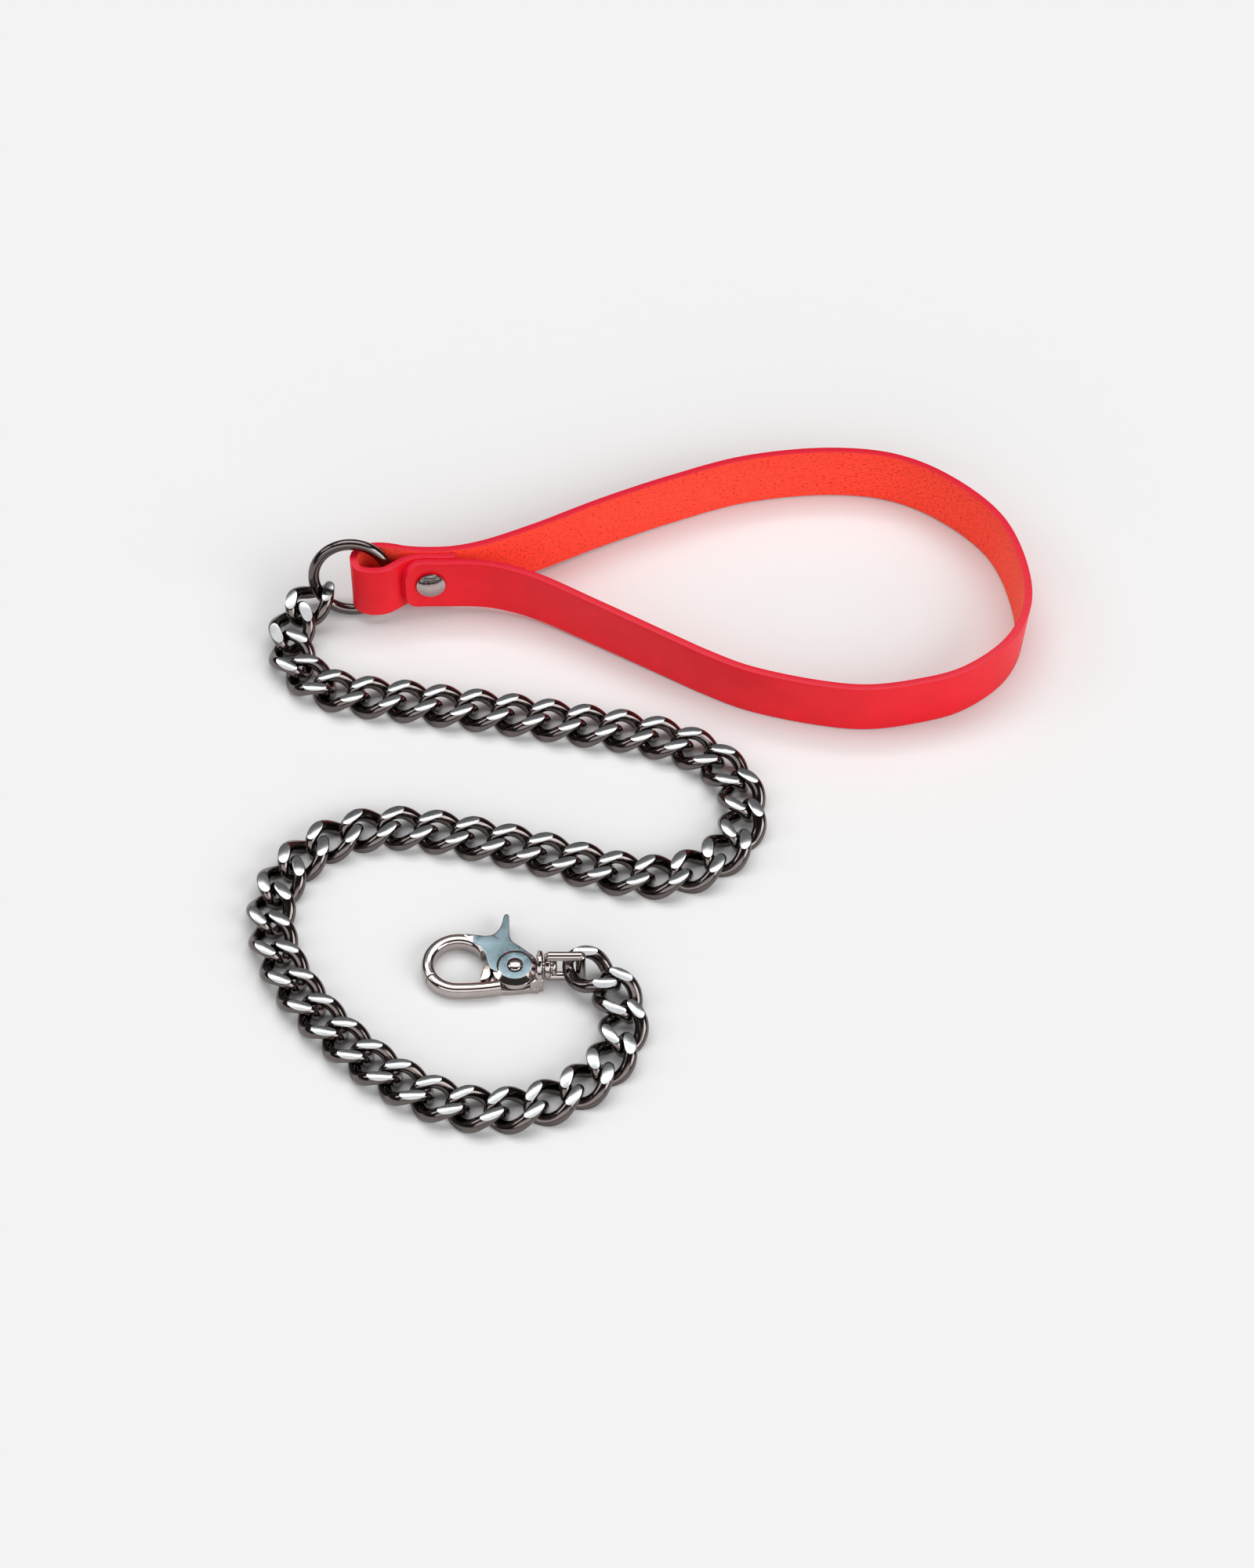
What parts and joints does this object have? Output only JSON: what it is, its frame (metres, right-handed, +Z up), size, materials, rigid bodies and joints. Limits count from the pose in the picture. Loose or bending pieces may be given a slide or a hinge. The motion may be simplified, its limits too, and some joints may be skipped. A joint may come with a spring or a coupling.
{
  "type": "chain leash",
  "caption": "Leather wrist-loop handle riveted round an O-ring, with a planed curb chain of separate links and a swivel trigger snap, laid out in curves.",
  "frame": {"origin": "middle of the bounding box, on the floor that the leash lies on", "axes": "+X along the handle away from the ring, +Y across the layout towards the handle, +Z up from the floor"},
  "size_m": [0.2555, 0.2715, 0.0279],
  "materials": {
    "red_leather": "smooth grain, semi-gloss",
    "gunmetal": "polished black nickel plate",
    "nickel": "polished gunmetal nickel plate"
  },
  "bodies": {
    "handle": {"handle_strap": "red_leather", "rivet_front": "gunmetal", "rivet_back": "gunmetal"},
    "ring": {"o_ring": "gunmetal"},
    "link_00": {"link_00": "gunmetal"},
    "link_01": {"link_01": "gunmetal"},
    "link_02": {"link_02": "gunmetal"},
    "link_03": {"link_03": "gunmetal"},
    "link_04": {"link_04": "gunmetal"},
    "link_05": {"link_05": "gunmetal"},
    "link_06": {"link_06": "gunmetal"},
    "link_07": {"link_07": "gunmetal"},
    "link_08": {"link_08": "gunmetal"},
    "link_09": {"link_09": "gunmetal"},
    "link_10": {"link_10": "gunmetal"},
    "link_11": {"link_11": "gunmetal"},
    "link_12": {"link_12": "gunmetal"},
    "link_13": {"link_13": "gunmetal"},
    "link_14": {"link_14": "gunmetal"},
    "link_15": {"link_15": "gunmetal"},
    "link_16": {"link_16": "gunmetal"},
    "link_17": {"link_17": "gunmetal"},
    "link_18": {"link_18": "gunmetal"},
    "link_19": {"link_19": "gunmetal"},
    "link_20": {"link_20": "gunmetal"},
    "link_21": {"link_21": "gunmetal"},
    "link_22": {"link_22": "gunmetal"},
    "link_23": {"link_23": "gunmetal"},
    "link_24": {"link_24": "gunmetal"},
    "link_25": {"link_25": "gunmetal"},
    "link_26": {"link_26": "gunmetal"},
    "link_27": {"link_27": "gunmetal"},
    "link_28": {"link_28": "gunmetal"},
    "link_29": {"link_29": "gunmetal"},
    "link_30": {"link_30": "gunmetal"},
    "link_31": {"link_31": "gunmetal"},
    "link_32": {"link_32": "gunmetal"},
    "link_33": {"link_33": "gunmetal"},
    "link_34": {"link_34": "gunmetal"},
    "link_35": {"link_35": "gunmetal"},
    "link_36": {"link_36": "gunmetal"},
    "link_37": {"link_37": "gunmetal"},
    "link_38": {"link_38": "gunmetal"},
    "link_39": {"link_39": "gunmetal"},
    "link_40": {"link_40": "gunmetal"},
    "link_41": {"link_41": "gunmetal"},
    "link_42": {"link_42": "gunmetal"},
    "link_43": {"link_43": "gunmetal"},
    "link_44": {"link_44": "gunmetal"},
    "link_45": {"link_45": "gunmetal"},
    "link_46": {"link_46": "gunmetal"},
    "link_47": {"link_47": "gunmetal"},
    "link_48": {"link_48": "gunmetal"},
    "eye": {"swivel_eye": "nickel"},
    "snap": {"snap_body": "nickel", "gate_pin": "nickel", "gate_spring": "nickel", "swivel_stud": "nickel"},
    "gate": {"snap_gate": "nickel"}
  },
  "joints": [
    {"name": "ring_turn", "type": "hinge", "parent": "handle", "child": "ring", "pos_m": [-0.0994, 0.0806, 0.01398], "axis": [0, -0.9583, 0.2857], "range_deg": [-8, 8]},
    {"name": "eye_swing", "type": "hinge", "parent": "link_48", "child": "eye", "pos_m": [-0.0215, -0.0762, 0.0067], "axis": [0, -0.0349, 0.9994], "range_deg": [-8, 8]},
    {"name": "snap_swivel", "type": "hinge", "parent": "eye", "child": "snap", "pos_m": [-0.0329, -0.0762, 0.0067], "axis": [-1, 0, 0], "continuous": true},
    {"name": "gate_open", "type": "hinge", "parent": "snap", "child": "gate", "pos_m": [-0.0421, -0.0751, 0.003], "axis": [0, 0, -1], "range_deg": [0, 34], "stiffness_Nm_per_rad": 0.03, "springref_deg": -11.46},
    {"name": "link_00_lift", "type": "hinge", "parent": "ring", "child": "link_00", "pos_m": [-0.11017, 0.07868, 0.00753], "axis": [0.5342, -0.2415, -0.8101], "range_deg": [-7, 20]},
    {"name": "link_01_sway", "type": "hinge", "parent": "link_00", "child": "link_01", "pos_m": [-0.11736, 0.07125, 0.00635], "axis": [-0.0774, -0.1323, 0.9882], "range_deg": [-22, 6]},
    {"name": "link_02_lift", "type": "hinge", "parent": "link_01", "child": "link_02", "pos_m": [-0.12071, 0.05984, 0.00412], "axis": [-0.9994, -0.0347, 0], "range_deg": [-20, 6]},
    {"name": "link_03_sway", "type": "hinge", "parent": "link_02", "child": "link_03", "pos_m": [-0.11657, 0.0485, 0.00334], "axis": [-0.0223, 0.0323, -0.9992], "range_deg": [-6, 22]},
    {"name": "link_04_lift", "type": "hinge", "parent": "link_03", "child": "link_04", "pos_m": [-0.10741, 0.0406, 0.0032], "axis": [0.4786, 0.878, 0], "range_deg": [-20, 20]},
    {"name": "link_05_sway", "type": "hinge", "parent": "link_04", "child": "link_05", "pos_m": [-0.0958, 0.03718, 0.0032], "axis": [0, 0, 1], "range_deg": [-22, 7]},
    {"name": "link_06_lift", "type": "hinge", "parent": "link_05", "child": "link_06", "pos_m": [-0.0838, 0.03562, 0.0032], "axis": [-0.1438, -0.9896, 0], "range_deg": [-20, 20]},
    {"name": "link_07_sway", "type": "hinge", "parent": "link_06", "child": "link_07", "pos_m": [-0.07185, 0.0337, 0.0032], "axis": [0, 0, -1], "range_deg": [-11, 22]},
    {"name": "link_08_lift", "type": "hinge", "parent": "link_07", "child": "link_08", "pos_m": [-0.05991, 0.03176, 0.0032], "axis": [0.1592, 0.9872, 0], "range_deg": [-20, 20]},
    {"name": "link_09_sway", "type": "hinge", "parent": "link_08", "child": "link_09", "pos_m": [-0.04796, 0.02985, 0.0032], "axis": [0, 0, 1], "range_deg": [-22, 15]},
    {"name": "link_10_lift", "type": "hinge", "parent": "link_09", "child": "link_10", "pos_m": [-0.03608, 0.02756, 0.0032], "axis": [-0.1901, -0.9818, 0], "range_deg": [-20, 20]},
    {"name": "link_11_sway", "type": "hinge", "parent": "link_10", "child": "link_11", "pos_m": [-0.0242, 0.02524, 0.0032], "axis": [0, 0, -1], "range_deg": [-22, 22]},
    {"name": "link_12_lift", "type": "hinge", "parent": "link_11", "child": "link_12", "pos_m": [-0.01229, 0.02313, 0.0032], "axis": [0.1921, 0.9814, 0], "range_deg": [-20, 20]},
    {"name": "link_13_sway", "type": "hinge", "parent": "link_12", "child": "link_13", "pos_m": [-0.00046, 0.0206, 0.0032], "axis": [0, 0, 1], "range_deg": [-22, 22]},
    {"name": "link_14_lift", "type": "hinge", "parent": "link_13", "child": "link_14", "pos_m": [0.01098, 0.01666, 0.0032], "axis": [-0.432, -0.9018, 0], "range_deg": [-20, 20]},
    {"name": "link_15_sway", "type": "hinge", "parent": "link_14", "child": "link_15", "pos_m": [0.02122, 0.01021, 0.0032], "axis": [0, 0, -1], "range_deg": [-22, 19]},
    {"name": "link_16_lift", "type": "hinge", "parent": "link_15", "child": "link_16", "pos_m": [0.0288, 0.00078, 0.0032], "axis": [0.9018, 0.432, 0], "range_deg": [-20, 20]},
    {"name": "link_17_sway", "type": "hinge", "parent": "link_16", "child": "link_17", "pos_m": [0.0314, -0.01104, 0.0032], "axis": [0, 0, 1], "range_deg": [-17, 22]},
    {"name": "link_18_lift", "type": "hinge", "parent": "link_17", "child": "link_18", "pos_m": [0.02882, -0.02286, 0.0032], "axis": [-0.897, 0.4421, 0], "range_deg": [-20, 20]},
    {"name": "link_19_sway", "type": "hinge", "parent": "link_18", "child": "link_19", "pos_m": [0.02101, -0.03211, 0.0032], "axis": [0, 0, -1], "range_deg": [-22, 19]},
    {"name": "link_20_lift", "type": "hinge", "parent": "link_19", "child": "link_20", "pos_m": [0.0102, -0.03753, 0.0032], "axis": [0.2705, -0.9627, 0], "range_deg": [-20, 20]},
    {"name": "link_21_sway", "type": "hinge", "parent": "link_20", "child": "link_21", "pos_m": [-0.00186, -0.03853, 0.0032], "axis": [0, 0, 1], "range_deg": [-22, 22]},
    {"name": "link_22_lift", "type": "hinge", "parent": "link_21", "child": "link_22", "pos_m": [-0.01369, -0.03601, 0.0032], "axis": [0.2713, 0.9625, 0], "range_deg": [-20, 20]},
    {"name": "link_23_sway", "type": "hinge", "parent": "link_22", "child": "link_23", "pos_m": [-0.0251, -0.03198, 0.0032], "axis": [0, 0, -1], "range_deg": [-22, 22]},
    {"name": "link_24_lift", "type": "hinge", "parent": "link_23", "child": "link_24", "pos_m": [-0.03655, -0.02807, 0.0032], "axis": [-0.3007, -0.9537, 0], "range_deg": [-20, 20]},
    {"name": "link_25_sway", "type": "hinge", "parent": "link_24", "child": "link_25", "pos_m": [-0.04818, -0.02471, 0.0032], "axis": [0, 0, 1], "range_deg": [-22, 22]},
    {"name": "link_26_lift", "type": "hinge", "parent": "link_25", "child": "link_26", "pos_m": [-0.05992, -0.02181, 0.0032], "axis": [0.2235, 0.9747, 0], "range_deg": [-20, 20]},
    {"name": "link_27_sway", "type": "hinge", "parent": "link_26", "child": "link_27", "pos_m": [-0.07176, -0.0193, 0.0032], "axis": [0, 0, -1], "range_deg": [-22, 22]},
    {"name": "link_28_lift", "type": "hinge", "parent": "link_27", "child": "link_28", "pos_m": [-0.0838, -0.01805, 0.0032], "axis": [0.0266, -0.9996, 0], "range_deg": [-20, 20]},
    {"name": "link_29_sway", "type": "hinge", "parent": "link_28", "child": "link_29", "pos_m": [-0.09575, -0.01994, 0.0032], "axis": [0, 0, 1], "range_deg": [-22, 15]},
    {"name": "link_30_lift", "type": "hinge", "parent": "link_29", "child": "link_30", "pos_m": [-0.10647, -0.02555, 0.0032], "axis": [-0.607, 0.7947, 0], "range_deg": [-20, 20]},
    {"name": "link_31_sway", "type": "hinge", "parent": "link_30", "child": "link_31", "pos_m": [-0.11471, -0.03442, 0.0032], "axis": [0, 0, -1], "range_deg": [-13, 22]},
    {"name": "link_32_lift", "type": "hinge", "parent": "link_31", "child": "link_32", "pos_m": [-0.11969, -0.04544, 0.0032], "axis": [0.9715, -0.2368, 0], "range_deg": [-20, 20]},
    {"name": "link_33_sway", "type": "hinge", "parent": "link_32", "child": "link_33", "pos_m": [-0.12034, -0.05752, 0.0032], "axis": [0, 0, 1], "range_deg": [-22, 13]},
    {"name": "link_34_lift", "type": "hinge", "parent": "link_33", "child": "link_34", "pos_m": [-0.11722, -0.06921, 0.0032], "axis": [-0.9413, -0.3376, 0], "range_deg": [-20, 20]},
    {"name": "link_35_sway", "type": "hinge", "parent": "link_34", "child": "link_35", "pos_m": [-0.1122, -0.08022, 0.0032], "axis": [0, 0, -1], "range_deg": [-17, 22]},
    {"name": "link_36_lift", "type": "hinge", "parent": "link_35", "child": "link_36", "pos_m": [-0.10545, -0.09027, 0.0032], "axis": [0.7999, 0.6001, 0], "range_deg": [-20, 20]},
    {"name": "link_37_sway", "type": "hinge", "parent": "link_36", "child": "link_37", "pos_m": [-0.0977, -0.09956, 0.0032], "axis": [0, 0, 1], "range_deg": [-22, 22]},
    {"name": "link_38_lift", "type": "hinge", "parent": "link_37", "child": "link_38", "pos_m": [-0.08932, -0.10829, 0.0032], "axis": [-0.6818, -0.7315, 0], "range_deg": [-20, 20]},
    {"name": "link_39_sway", "type": "hinge", "parent": "link_38", "child": "link_39", "pos_m": [-0.08002, -0.11603, 0.0032], "axis": [0, 0, -1], "range_deg": [-22, 22]},
    {"name": "link_40_lift", "type": "hinge", "parent": "link_39", "child": "link_40", "pos_m": [-0.06994, -0.12272, 0.0032], "axis": [0.4743, 0.8804, 0], "range_deg": [-20, 20]},
    {"name": "link_41_sway", "type": "hinge", "parent": "link_40", "child": "link_41", "pos_m": [-0.0588, -0.12746, 0.0032], "axis": [0, 0, 1], "range_deg": [-22, 22]},
    {"name": "link_42_lift", "type": "hinge", "parent": "link_41", "child": "link_42", "pos_m": [-0.04679, -0.12892, 0.0032], "axis": [0.0125, -0.9999, 0], "range_deg": [-20, 20]},
    {"name": "link_43_sway", "type": "hinge", "parent": "link_42", "child": "link_43", "pos_m": [-0.03482, -0.12716, 0.0032], "axis": [-0.0001, 0, -1], "range_deg": [-22, 22]},
    {"name": "link_44_lift", "type": "hinge", "parent": "link_43", "child": "link_44", "pos_m": [-0.0239, -0.12194, 0.0032], "axis": [-0.542, 0.8404, 0], "range_deg": [-20, 20]},
    {"name": "link_45_sway", "type": "hinge", "parent": "link_44", "child": "link_45", "pos_m": [-0.01465, -0.11415, 0.00322], "axis": [-0.0016, -0.0019, 1], "range_deg": [-22, 22]},
    {"name": "link_46_lift", "type": "hinge", "parent": "link_45", "child": "link_46", "pos_m": [-0.00881, -0.10355, 0.00326], "axis": [0.9539, -0.3, 0], "range_deg": [-20, 20]},
    {"name": "link_47_sway", "type": "hinge", "parent": "link_46", "child": "link_47", "pos_m": [-0.00753, -0.09152, 0.00343], "axis": [-0.0072, 0.0457, -0.9989], "range_deg": [-15, 22]},
    {"name": "link_48_lift", "type": "hinge", "parent": "link_47", "child": "link_48", "pos_m": [-0.01244, -0.0805, 0.00434], "axis": [-0.7193, -0.6947, 0], "range_deg": [-4, 20]}
  ]
}
